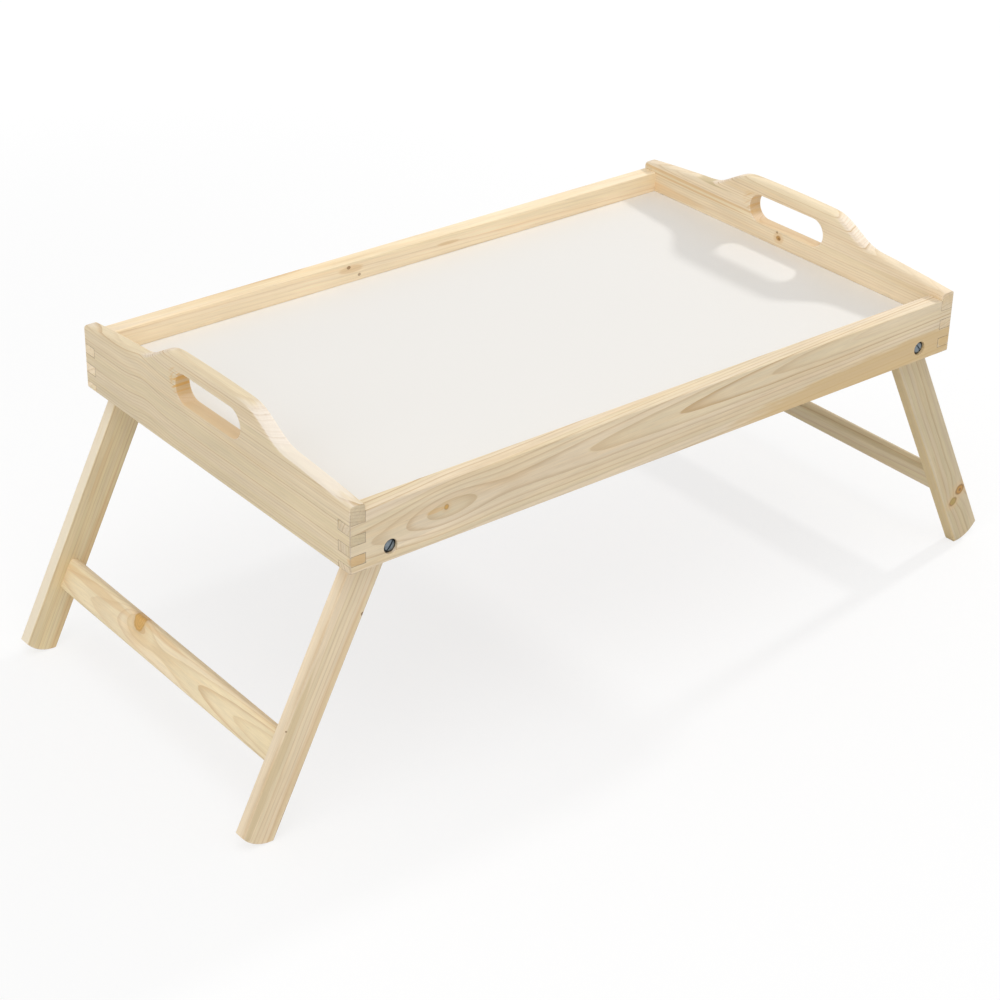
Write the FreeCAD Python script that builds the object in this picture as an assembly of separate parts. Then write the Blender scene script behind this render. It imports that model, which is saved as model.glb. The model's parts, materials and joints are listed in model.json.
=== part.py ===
import FreeCAD, Part
import math
import os

# Bed tray table: a shallow pine tray with a loose-set white panel, standing on two folding leg frames.
# Lengths in millimetres, angles in degrees. X runs along the tray, -Y is the front, +Z is up.
# The origin is on the floor, under the middle of the tray. The leg frames are drawn opened out.

# ---- Driving dimensions ----

# Tray frame: two rails along X, two end boards along Y
tray_length = 500.0
tray_width = 300.0
rail_height = 40.0
rail_thickness = 12.0
board_thickness = 11.0
arris_radius = 1.0

# Top edge of an end board, as heights above the tray's bottom edge
board_corner_height = 44.6
board_shoulder_rise = 8.0
handle_rise = 15.2
handle_foot_spread = 84.0
handle_crest_spread = 40.0
board_top_radius = 2.6

# Hand hole through an end board
grip_length = 73.0
grip_height = 20.8
grip_center_height = 47.2
grip_edge_radius = 1.0

# Box joint at the tray's corners: the rail has the lowest finger
bottom_finger = 5.0
finger_pitch = 6.8

# Panel held in a groove round the inside of the tray; its edges are rebated to a slightly thinner tongue
panel_thickness = 3.0
panel_top_height = 25.0
panel_tongue_relief = 0.3
panel_rim_gap = 0.25
groove_depth = 5.5
groove_end_gap = 0.5
groove_face_gap = 0.2

# Legs: flat bars with a half-round top and a slightly domed foot
leg_width = 24.0
leg_thickness = 9.0
leg_reach = 203.0
foot_radius = 25.0
leg_arris_radius = 1.0
pivot_inset = 28.9
pivot_height = 9.5
stop_gap = 0.15

# Stretcher between the two legs of a frame, a slat set a little to the lap side of the leg's middle
stretcher_drop = 146.0
stretcher_lap_offset = 2.0
stretcher_height = 22.5
stretcher_depth = 8.5
stretcher_round = 3.0
tenon_height = 14.0
tenon_depth = 5.0
tenon_length = 5.5
tenon_gap = 0.1

# Pivot bolt with its washers and lock nut
bolt_radius = 2.5
bolt_head_radius = 4.5
bolt_head_rim = 1.3
bolt_head_dome = 1.1
bolt_head_sink = 0.8
bolt_tip_chamfer = 0.6
bolt_tail = 1.0
counterbore_gap = 0.4
slot_width = 1.3
slot_depth = 1.1
slot_angle = 52.0
rail_hole_gap = 0.1
pivot_running_gap = 0.05
washer_radius = 5.0
washer_thickness = 0.8
nut_washer_thickness = 1.0
washer_hole_gap = 0.1
side_play = 0.1
nut_across_flats = 8.0
nut_height = 3.8
nut_chamfer = 0.6
nut_collar_radius = 3.6
nut_collar_height = 1.3

profile_steps = 16
reach_past = 10.0

# ---- Sizes that follow from them ----

half_length = tray_length / 2
half_width = tray_width / 2
board_inner_x = half_length - board_thickness
rail_inner_y = half_width - rail_thickness
panel_bottom_height = panel_top_height - panel_thickness
tongue_top_height = panel_top_height - panel_tongue_relief
pivot_x = half_length - pivot_inset
leg_half_width = leg_width / 2
leg_outer_y = rail_inner_y - washer_thickness - side_play
leg_inner_y = leg_outer_y - leg_thickness
foot_center_drop = leg_reach - foot_radius
foot_corner_drop = foot_center_drop + math.sqrt(foot_radius ** 2 - leg_half_width ** 2)
foot_half_angle = math.degrees(math.asin(leg_half_width / foot_radius))
stretcher_inner_offset = -stretcher_lap_offset - stretcher_depth / 2
stretcher_outer_offset = -stretcher_lap_offset + stretcher_depth / 2
bolt_seat_y = half_width - bolt_head_sink - bolt_head_rim - bolt_head_dome
nut_washer_y = leg_inner_y - side_play
nut_face_y = nut_washer_y - nut_washer_thickness
nut_end_y = nut_face_y - nut_height - nut_collar_height
bolt_tip_y = nut_end_y - bolt_tail


def stopped_splay():
    """Angle of an opened leg from upright, where its outer edge meets the end board's lower inner arris."""
    across = board_inner_x + arris_radius - pivot_x
    below = pivot_height - arris_radius
    touch = leg_half_width + stop_gap + arris_radius
    return math.degrees(math.acos(touch / math.hypot(across, below)) - math.atan2(below, across))


def pivot_floor_height(splay):
    """Height of the pivot over the floor: the lowest point of the domed foot is on its arc or its corner."""
    past_corner = max(0.0, splay - foot_half_angle)
    return (foot_center_drop * math.cos(math.radians(splay))
            + foot_radius * math.cos(math.radians(past_corner)))


leg_splay = stopped_splay()
pivot_z = pivot_floor_height(leg_splay)
tray_bottom = pivot_z - pivot_height


# ---- Small helpers ----

def vector(x, y, z):
    return FreeCAD.Vector(x, y, z)


def block(x_low, x_high, y_low, y_high, z_low, z_high):
    """Box between two corners."""
    return Part.makeBox(x_high - x_low, y_high - y_low, z_high - z_low, vector(x_low, y_low, z_low))


def line(start, end):
    return Part.LineSegment(start, end).toShape()


def arc(start, middle, end):
    return Part.Arc(start, middle, end).toShape()


def edges_at(shape, axis, place):
    """Edges of a shape that lie wholly in the plane where one coordinate has a given value."""
    tolerance = 1e-4
    found = []
    for edge in shape.Edges:
        low = getattr(edge.BoundBox, axis + "Min")
        high = getattr(edge.BoundBox, axis + "Max")
        if abs(low - place) < tolerance and abs(high - place) < tolerance:
            found.append(edge)
    return found


def mirrored(shape, mirror_x, mirror_y):
    """Copy of a piece that was drawn at the back right, turned over to another side of the table."""
    origin = vector(0, 0, 0)
    copy = shape.copy()
    if mirror_x:
        copy = copy.mirror(origin, vector(1, 0, 0))
    if mirror_y:
        copy = copy.mirror(origin, vector(0, 1, 0))
    return copy


def rounded_bar(axis, ends, first, second, radii):
    """Bar along X or Y with a rounded rectangular section.

    first and second are the section's (low, high) limits across the bar and up it. radii holds the four
    corner radii in the order low-low, high-low, high-high, low-high.
    """
    corners = ((first[0], second[0]), (first[1], second[0]), (first[1], second[1]), (first[0], second[1]))
    turns = ((1, 1), (-1, 1), (-1, -1), (1, -1))

    def at(across, up):
        return vector(ends[0], across, up) if axis == "X" else vector(across, ends[0], up)

    edges = []
    starts = []
    finishes = []
    for index, ((across, up), (in_across, in_up), radius) in enumerate(zip(corners, turns, radii)):
        along_side = at(across, up + in_up * radius)
        along_floor = at(across + in_across * radius, up)
        inset = radius * (1 - math.sqrt(0.5))
        middle = at(across + in_across * inset, up + in_up * inset)
        entry, leave = (along_side, along_floor) if index % 2 == 0 else (along_floor, along_side)
        edges.append(arc(entry, middle, leave))
        starts.append(entry)
        finishes.append(leave)
    for index in range(4):
        edges.append(line(finishes[index], starts[(index + 1) % 4]))
    outline = Part.Wire(Part.__sortEdges__(edges))
    length = ends[1] - ends[0]
    direction = vector(length, 0, 0) if axis == "X" else vector(0, length, 0)
    return Part.Face(outline).extrude(direction)


def finger_bands():
    """Heights of the box joint's fingers above the tray's bottom, as (low, high, is_rail_finger)."""
    edges = [0.0, bottom_finger]
    while edges[-1] + 1.5 * finger_pitch < rail_height:
        edges.append(edges[-1] + finger_pitch)
    bands = []
    for index in range(len(edges) - 1):
        bands.append((edges[index], edges[index + 1], index % 2 == 0))
    if len(bands) % 2 == 0:
        low, high, is_rail = bands.pop()
        bands.append((low, None, is_rail))
    else:
        bands.append((edges[-1], None, False))
    return bands


def corner_fingers(rail_fingers):
    """The finger blocks at the back right corner that belong to the rail, or to the end board."""
    blocks = []
    for low, high, is_rail in finger_bands():
        if is_rail != rail_fingers:
            continue
        top = high if high is not None else rail_height + board_shoulder_rise + handle_rise + reach_past
        blocks.append(block(board_inner_x, half_length, rail_inner_y, half_width,
                            tray_bottom + low, tray_bottom + top))
    return blocks


def tray_envelope():
    """Outside of the tray, with eased corners and bottom edges, that trims the rails and end boards."""
    top = tray_bottom + board_corner_height + board_shoulder_rise + handle_rise + reach_past
    body = block(-half_length, half_length, -half_width, half_width, tray_bottom, top)
    eased = [edge for edge in body.Edges
             if edge.BoundBox.ZMin < tray_bottom + arris_radius]
    return body.makeFillet(arris_radius, eased)


def panel_groove():
    """Space that the rails and end boards leave for the panel's edges."""
    reach_x = board_inner_x + groove_depth
    reach_y = rail_inner_y + groove_depth
    return block(-reach_x, reach_x, -reach_y, reach_y, tray_bottom + panel_bottom_height,
                 tray_bottom + tongue_top_height + groove_face_gap)


# ---- Tray pieces ----

def back_rail():
    """Rail with its box-joint fingers, panel groove and counterbored bolt holes."""
    radii = (arris_radius, arris_radius, arris_radius, arris_radius)
    bar = rounded_bar("X", (-board_inner_x, board_inner_x), (rail_inner_y, half_width),
                      (tray_bottom, tray_bottom + rail_height), radii)
    for finger in corner_fingers(True):
        bar = bar.fuse([finger, mirrored(finger, True, False)])
    rail = bar.common(tray_envelope()).cut(panel_groove())
    for side in (-1, 1):
        rail = rail.cut(cylinder_in(side * pivot_x, half_width + reach_past, rail_inner_y - reach_past,
                                    bolt_radius + rail_hole_gap))
        rail = rail.cut(cylinder_in(side * pivot_x, half_width + reach_past, bolt_seat_y,
                                    bolt_head_radius + counterbore_gap))
    return rail.removeSplitter()


def cylinder_in(x, y_outer, y_inner, radius):
    """Cylinder on a pivot line that runs inward along -Y from one face to another."""
    return Part.makeCylinder(radius, y_outer - y_inner, vector(x, y_outer, pivot_z), vector(0, -1, 0))


def board_top_height(y):
    """Height of an end board above the tray's bottom: a low crown with a handle swelling out of it."""
    spread = abs(y)
    shoulder = board_corner_height + board_shoulder_rise * (1 - (spread / half_width) ** 2)
    climb = (handle_foot_spread - spread) / (handle_foot_spread - handle_crest_spread)
    climb = min(1.0, max(0.0, climb))
    return shoulder + handle_rise * (1 - math.cos(math.pi * climb)) / 2


def board_blank():
    """End board before its joints are cut, standing at the right end of the tray."""
    step = half_width / profile_steps
    crest = []
    for index in range(-profile_steps, profile_steps + 1):
        y = index * step
        crest.append(vector(board_inner_x, y, tray_bottom + board_top_height(y)))
    curve = Part.BSplineCurve()
    curve.interpolate(crest)
    bottom_front = vector(board_inner_x, -half_width, tray_bottom)
    bottom_back = vector(board_inner_x, half_width, tray_bottom)
    edges = [curve.toShape(), line(crest[-1], bottom_back), line(bottom_back, bottom_front),
             line(bottom_front, crest[0])]
    blank = Part.Face(Part.Wire(edges)).extrude(vector(board_thickness, 0, 0))
    top_edges = [edge for edge in blank.Edges
                 if edge.BoundBox.YLength > half_width and edge.BoundBox.ZMin > tray_bottom + arris_radius]
    return blank.makeFillet(min(board_top_radius, 0.4 * board_thickness), top_edges)


def grip_hole():
    """Slot with half-round ends, cut through an end board."""
    middle_z = tray_bottom + grip_center_height
    end_radius = grip_height / 2
    straight = grip_length / 2 - end_radius
    start_x = board_inner_x - reach_past
    edges = []
    for side in (-1, 1):
        edges.append(line(vector(start_x, -straight, middle_z + side * end_radius),
                          vector(start_x, straight, middle_z + side * end_radius)))
        edges.append(arc(vector(start_x, side * straight, middle_z - end_radius),
                         vector(start_x, side * (straight + end_radius), middle_z),
                         vector(start_x, side * straight, middle_z + end_radius)))
    outline = Part.Wire(Part.__sortEdges__(edges))
    return Part.Face(outline).extrude(vector(board_thickness + 2 * reach_past, 0, 0))


def ease_grip(board):
    """Round the rims of the hand hole on both faces of an end board."""
    rims = []
    margin = 1.0
    for place in (board_inner_x, half_length):
        for edge in edges_at(board, "X", place):
            box = edge.BoundBox
            in_width = max(abs(box.YMin), abs(box.YMax)) < grip_length / 2 + margin
            low = tray_bottom + grip_center_height - grip_height / 2 - margin
            high = tray_bottom + grip_center_height + grip_height / 2 + margin
            if in_width and box.ZMin > low and box.ZMax < high:
                rims.append(edge)
    return board.makeFillet(min(grip_edge_radius, 0.4 * board_thickness), rims)


def right_end_board():
    """End board with its hand hole, box-joint fingers and panel groove."""
    board = ease_grip(board_blank().cut(grip_hole())).common(tray_envelope())
    for finger in corner_fingers(True):
        board = board.cut([finger, mirrored(finger, False, True)])
    inner_bottom = [edge for edge in edges_at(board, "X", board_inner_x)
                    if edge.BoundBox.ZMax < tray_bottom + arris_radius]
    board = board.makeFillet(arris_radius, inner_bottom)
    return board.cut(panel_groove())


def tray_panel():
    """Thin panel that rests on the lower side of the groove, with a field that fills the rim's inside."""
    reach_x = board_inner_x + groove_depth - groove_end_gap
    reach_y = rail_inner_y + groove_depth - groove_end_gap
    field_x = board_inner_x - panel_rim_gap
    field_y = rail_inner_y - panel_rim_gap
    sheet = block(-reach_x, reach_x, -reach_y, reach_y, tray_bottom + panel_bottom_height,
                  tray_bottom + tongue_top_height)
    field = block(-field_x, field_x, -field_y, field_y, tray_bottom + panel_bottom_height,
                  tray_bottom + panel_top_height)
    return sheet.fuse(field).removeSplitter()


# ---- Leg frames, drawn upright under the pivot and then swung out to the stop ----

def opened(shape):
    """Swing a piece that hangs from the origin out to the right by the splay, and lift it to the pivot."""
    placed = shape.copy()
    placed.rotate(vector(0, 0, 0), vector(0, 1, 0), -leg_splay)
    placed.translate(vector(pivot_x, 0, pivot_z))
    return placed


def leg_blank():
    """Flat bar with a half-round top round the pivot and a domed foot, eased all round."""
    y = leg_inner_y
    outer_top = vector(leg_half_width, y, 0)
    inner_top = vector(-leg_half_width, y, 0)
    outer_foot = vector(leg_half_width, y, -foot_corner_drop)
    inner_foot = vector(-leg_half_width, y, -foot_corner_drop)
    edges = [arc(inner_top, vector(0, y, leg_half_width), outer_top), line(outer_top, outer_foot),
             arc(outer_foot, vector(0, y, -leg_reach), inner_foot), line(inner_foot, inner_top)]
    bar = Part.Face(Part.Wire(edges)).extrude(vector(0, leg_thickness, 0))
    rims = edges_at(bar, "Y", leg_inner_y) + edges_at(bar, "Y", leg_outer_y)
    return bar.makeFillet(min(leg_arris_radius, 0.4 * leg_thickness), rims)


def tenon(clearance):
    """Tenon at the stretcher's back end; with a clearance, the mortise that takes it."""
    half_depth = tenon_depth / 2 + clearance
    half_height = tenon_height / 2 + clearance
    return block(-stretcher_lap_offset - half_depth, -stretcher_lap_offset + half_depth, leg_inner_y,
                 leg_inner_y + tenon_length + 2 * clearance,
                 -stretcher_drop - half_height, -stretcher_drop + half_height)


def back_leg():
    """Leg with its pivot hole and blind mortise."""
    leg = leg_blank().cut(tenon(tenon_gap))
    pivot_hole = Part.makeCylinder(bolt_radius + pivot_running_gap, leg_thickness + 2 * reach_past,
                                   vector(0, leg_inner_y - reach_past, 0), vector(0, 1, 0))
    return leg.cut(pivot_hole)


def stretcher():
    """Slat with rounded edges between the two legs, with a tenon at each end."""
    edge_round = min(stretcher_round, 0.4 * stretcher_depth)
    bar = rounded_bar("Y", (-leg_inner_y, leg_inner_y), (stretcher_inner_offset, stretcher_outer_offset),
                      (-stretcher_drop - stretcher_height / 2, -stretcher_drop + stretcher_height / 2),
                      (edge_round, edge_round, edge_round, edge_round))
    return bar.fuse([tenon(0.0), mirrored(tenon(0.0), False, True)])


# ---- Pivot hardware at the back right ----

def ring(y_outer, y_inner, radius, hole_radius):
    """Flat washer on the pivot line."""
    outside = cylinder_in(pivot_x, y_outer, y_inner, radius)
    return outside.cut(cylinder_in(pivot_x, y_outer, y_inner, hole_radius))


def pivot_bolt():
    """Slotted bolt with a low domed head that sits in the rail's counterbore."""
    head_top = bolt_head_rim + bolt_head_dome
    points = [vector(0, 0, head_top), vector(bolt_head_radius, 0, bolt_head_rim), vector(bolt_head_radius, 0, 0),
              vector(bolt_radius, 0, 0)]
    shank_end = bolt_tip_y - bolt_seat_y
    points += [vector(bolt_radius, 0, shank_end + bolt_tip_chamfer),
               vector(bolt_radius - bolt_tip_chamfer, 0, shank_end), vector(0, 0, shank_end)]
    dome_radius = (bolt_head_radius ** 2 + bolt_head_dome ** 2) / (2 * bolt_head_dome)
    halfway = bolt_head_radius / 2
    dome_middle = vector(halfway, 0, head_top - dome_radius + math.sqrt(dome_radius ** 2 - halfway ** 2))
    edges = [arc(points[0], dome_middle, points[1])]
    for start, end in zip(points[1:], points[2:] + points[:1]):
        edges.append(line(start, end))
    turned = Part.Face(Part.Wire(edges)).revolve(vector(0, 0, 0), vector(0, 0, 1), 360)
    slot = block(-bolt_head_radius - 1, bolt_head_radius + 1, -slot_width / 2, slot_width / 2,
                 head_top - slot_depth, head_top + 1)
    slot.rotate(vector(0, 0, 0), vector(0, 0, 1), slot_angle)
    bolt = turned.cut(slot)
    bolt.rotate(vector(0, 0, 0), vector(1, 0, 0), -90)
    bolt.translate(vector(pivot_x, bolt_seat_y, pivot_z))
    return bolt


def lock_nut():
    """Hexagon nut with chamfered corners and a round locking collar."""
    corner_radius = nut_across_flats / math.sqrt(3)
    corners = []
    for index in range(6):
        angle = math.radians(60 * index + 30)
        corners.append(vector(pivot_x + corner_radius * math.cos(angle), nut_face_y,
                              pivot_z + corner_radius * math.sin(angle)))
    outline = Part.makePolygon(corners + corners[:1])
    hexagon = Part.Face(outline).extrude(vector(0, -nut_height, 0))
    turned = cylinder_in(pivot_x, nut_face_y, nut_face_y - nut_height, corner_radius)
    turned = turned.makeChamfer(nut_chamfer, edges_at(turned, "Y", nut_face_y - nut_height))
    collar = cylinder_in(pivot_x, nut_face_y - nut_height, nut_end_y, nut_collar_radius)
    collar = collar.makeFillet(nut_chamfer, edges_at(collar, "Y", nut_end_y))
    nut = hexagon.common(turned).fuse(collar)
    return nut.cut(cylinder_in(pivot_x, nut_face_y, nut_end_y, bolt_radius))


# ---- All pieces, by name ----

def all_pieces():
    pieces = {
        "end_board_right": right_end_board(),
        "back_rail": back_rail(),
        "tray_panel": tray_panel(),
    }
    pieces["end_board_left"] = mirrored(pieces["end_board_right"], True, False)
    pieces["front_rail"] = mirrored(pieces["back_rail"], False, True)

    leg = opened(back_leg())
    bar = opened(stretcher())
    hardware = {
        "pivot_bolt": pivot_bolt(),
        "pivot_washer": ring(rail_inner_y, rail_inner_y - washer_thickness, washer_radius,
                             bolt_radius + washer_hole_gap),
        "nut_washer": ring(nut_washer_y, nut_face_y, washer_radius, bolt_radius + washer_hole_gap),
        "lock_nut": lock_nut(),
    }
    for side, to_left in (("left", True), ("right", False)):
        pieces["stretcher_" + side] = mirrored(bar, to_left, False)
        for depth, to_front in (("front", True), ("back", False)):
            place = "_" + depth + "_" + side
            pieces["leg" + place] = mirrored(leg, to_left, to_front)
            for name, shape in hardware.items():
                pieces[name + place] = mirrored(shape, to_left, to_front)
    return pieces


def main():
    os.makedirs("parts", exist_ok=True)
    for name, shape in all_pieces().items():
        shape.exportStep("parts/" + name + ".step")
    print("opened leg splay", round(leg_splay, 3))
    print("pivot at x", round(pivot_x, 3), "z", round(pivot_z, 3))
    print("tray bottom at z", round(tray_bottom, 3))


main()
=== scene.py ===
"""Looks of a folding bed tray table: raw pine, a white faced panel and zinc plated pivots."""

import json
import math
from collections import namedtuple

import bmesh
import bpy
from bpy.props import FloatProperty, FloatVectorProperty, PointerProperty
from bpy.types import Operator, Panel, PropertyGroup
from mathutils import Matrix, Vector


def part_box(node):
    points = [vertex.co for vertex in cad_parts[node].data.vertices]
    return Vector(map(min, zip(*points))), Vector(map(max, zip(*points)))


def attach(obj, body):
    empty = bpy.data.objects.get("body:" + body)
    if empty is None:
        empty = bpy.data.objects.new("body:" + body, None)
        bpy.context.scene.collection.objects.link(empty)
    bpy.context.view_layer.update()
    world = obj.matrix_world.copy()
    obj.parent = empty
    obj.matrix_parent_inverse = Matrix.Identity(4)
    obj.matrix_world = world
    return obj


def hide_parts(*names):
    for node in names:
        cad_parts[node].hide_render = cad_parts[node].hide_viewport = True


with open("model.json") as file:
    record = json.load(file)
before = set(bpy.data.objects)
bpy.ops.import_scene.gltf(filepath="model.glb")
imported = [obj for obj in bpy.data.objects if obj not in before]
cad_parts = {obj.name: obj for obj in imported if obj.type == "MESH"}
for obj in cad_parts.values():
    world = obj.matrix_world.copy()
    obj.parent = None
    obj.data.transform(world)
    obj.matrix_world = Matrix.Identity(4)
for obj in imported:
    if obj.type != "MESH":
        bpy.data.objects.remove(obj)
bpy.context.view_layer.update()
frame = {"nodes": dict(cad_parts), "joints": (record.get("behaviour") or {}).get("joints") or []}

bl_info = {
    "name": "Bed tray table looks",
    "version": (1, 0, 0),
    "blender": (4, 5, 0),
    "location": "3D View > Sidebar > Bed Tray",
    "description": "Finishes the pieces of a folding bed tray table and sets it on a pale floor",
    "category": "Object",
}

# ---- Places taken from the frame, in metres ----

rail_low, rail_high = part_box("front_rail")
board_low, board_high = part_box("end_board_right")
tray_bottom = rail_low.z
panel_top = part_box("tray_panel")[1].z
fold_joint = next(joint for joint in frame["joints"] if joint["name"] == "right_leg_fold")
pivot = Vector(fold_joint["pos_m"])
leg_splay = math.radians(fold_joint["range_deg"][1] - 90)

HOLE_HEIGHT = 0.0472            # middle of a hand hole, above the tray's bottom edge
HOLE_HALF_LENGTH = 0.0365
HOLE_HALF_HEIGHT = 0.0104

SIDES = ("left", "right")
DEPTHS = ("front", "back")
X_AXIS = Vector((1, 0, 0))
Y_AXIS = Vector((0, 1, 0))
Z_AXIS = Vector((0, 0, 1))
BRANCH_LEAN = 0.15              # how far a branch leans along the trunk for each unit outwards

# ---- Colours of marks, stains, dulled places, painted highlight and painted shade ----

CHIP = (0.10, 0.055, 0.025, 1)
HONEY = (0.70, 0.49, 0.225, 1)
# painted highlight on the tops of a board
TOP_HIGHLIGHT = (0.95, 0.87, 0.77, 1)
CREAM = (0.93, 0.83, 0.66, 1)
OCHRE = (0.66, 0.50, 0.24, 1)
CROSS_CUT = (0.93, 0.81, 0.70, 1)
JOINT_SHADOW = (0.36, 0.27, 0.18, 1)
KNOT_BARK = (0.24, 0.115, 0.035, 1)
KNOT_AMBER = (0.50, 0.25, 0.045, 1)
KNOT_OLIVE = (0.42, 0.31, 0.09, 1)
BARK_SHADE = (0.40, 0.34, 0.30, 1)      # multiplies the knot's colour
# painted shade of the counterbore round each bolt head
COUNTERBORE_SHADE = (0.02, 0.022, 0.025, 1)
DULL_ZINC = (0.15, 0.17, 0.19, 1)
DULL_WHITE = (0.76, 0.73, 0.69, 1)
DARK_FIBRE = (0.16, 0.085, 0.04, 1)


# ---- Settings that a user would change ----

class BedTrayWood(PropertyGroup):
    """Colours and figure of the pine."""
    earlywood: FloatVectorProperty(
        name="Earlywood", description="Colour of the wide pale part of each year's growth",
        subtype="COLOR", size=4, min=0, max=1, default=(0.87, 0.72, 0.525, 1))
    olive: FloatVectorProperty(
        name="Olive", description="Colour that the pale part leans to in some years",
        subtype="COLOR", size=4, min=0, max=1, default=(0.80, 0.67, 0.41, 1))
    latewood: FloatVectorProperty(
        name="Latewood", description="Colour of the narrow dark line that ends each year's growth",
        subtype="COLOR", size=4, min=0, max=1, default=(0.63, 0.44, 0.235, 1))
    resin: FloatVectorProperty(
        name="Resin", description="Colour of the orange streaks that are rich in resin",
        subtype="COLOR", size=4, min=0, max=1, default=(0.74, 0.49, 0.23, 1))
    knot: FloatVectorProperty(
        name="Knot", description="Colour of the knots",
        subtype="COLOR", size=4, min=0, max=1, default=(0.72, 0.41, 0.10, 1))
    tooled: FloatVectorProperty(
        name="Tooled", description="Colour of the hand holes' walls, browned by the cutter",
        subtype="COLOR", size=4, min=0, max=1, default=(0.72, 0.50, 0.26, 1))
    ring_width: FloatProperty(
        name="Ring width", description="Thickness of one year's growth",
        subtype="DISTANCE", unit="LENGTH", default=0.003, min=0.0005, max=0.02)
    roughness: FloatProperty(
        name="Roughness", description="Roughness of the sanded, unfinished surface",
        subtype="FACTOR", default=0.55, min=0, max=1)
    eased_edge: FloatProperty(
        name="Eased edge", description="Width of the rounding on the sawn fingers of the corner joints",
        subtype="DISTANCE", unit="LENGTH", default=0.0003, min=0.0, max=0.001)


class BedTrayPanel(PropertyGroup):
    """Finish of the tray's loose panel."""
    face: FloatVectorProperty(
        name="Face", description="Colour of the white face", subtype="COLOR", size=4, min=0, max=1,
        default=(0.845, 0.825, 0.790, 1))
    back: FloatVectorProperty(
        name="Back", description="Colour of the raw pressed fibre underneath", subtype="COLOR", size=4,
        min=0, max=1, default=(0.30, 0.17, 0.085, 1))
    roughness: FloatProperty(
        name="Roughness", description="Roughness of the white face", subtype="FACTOR", default=0.42,
        min=0, max=1)


class BedTrayHardware(PropertyGroup):
    """Finish of the bolts, washers and nuts."""
    zinc: FloatVectorProperty(
        name="Zinc", description="Colour of the zinc plating", subtype="COLOR", size=4, min=0, max=1,
        default=(0.23, 0.27, 0.30, 1))


class BedTrayStage(PropertyGroup):
    """Camera, lamps and floor."""
    camera_place: FloatVectorProperty(
        name="Camera", description="Place of the camera", subtype="XYZ_LENGTH", unit="LENGTH", size=3,
        default=(-0.9325, -1.1196, 0.7196 + tray_bottom))
    camera_turn: FloatProperty(
        name="Turn", description="Turn of the camera towards the right end", subtype="ANGLE",
        unit="ROTATION", default=math.radians(36.38))
    camera_dip: FloatProperty(
        name="Dip", description="Angle of the camera below the horizon", subtype="ANGLE", unit="ROTATION",
        default=math.radians(28.39))
    lens: FloatProperty(
        name="Lens", description="Focal length in millimetres on a 36 mm sensor", subtype="DISTANCE_CAMERA",
        default=86.83, min=10)
    shift_right: FloatProperty(name="Shift right", description="Sideways shift of the lens", default=0.105)
    shift_up: FloatProperty(name="Shift up", description="Upward shift of the lens", default=-0.045)
    sky_level: FloatProperty(
        name="Sky level", description="Level of the even light from all round", default=0.565, min=0)
    overhead_level: FloatProperty(
        name="Overhead level", description="Level of the large lamp above the tray", default=0.29, min=0)
    key_level: FloatProperty(
        name="Key level", description="Level of the small lamp beyond the right end", default=0.42, min=0)
    fill_level: FloatProperty(
        name="Fill level", description="Level of the soft lamp beyond the left end", default=0.15, min=0)
    floor_colour: FloatVectorProperty(
        name="Floor", description="Colour of the floor", subtype="COLOR", size=4, min=0, max=1,
        default=(0.90, 0.90, 0.90, 1))
    floor_glow: FloatProperty(
        name="Floor glow", description="Share of plain white in the floor near the object, as it is seen",
        subtype="FACTOR", default=0.72, min=0, max=1)


# ---- Node trees ----

MIX_FACTOR, MIX_FIRST, MIX_SECOND, MIX_RESULT = 0, 6, 7, 2      # colour sockets of the Mix node
FIRST_YEAR = 2.0        # number of the ring at the pith, which picks how dark each ring is


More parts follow.
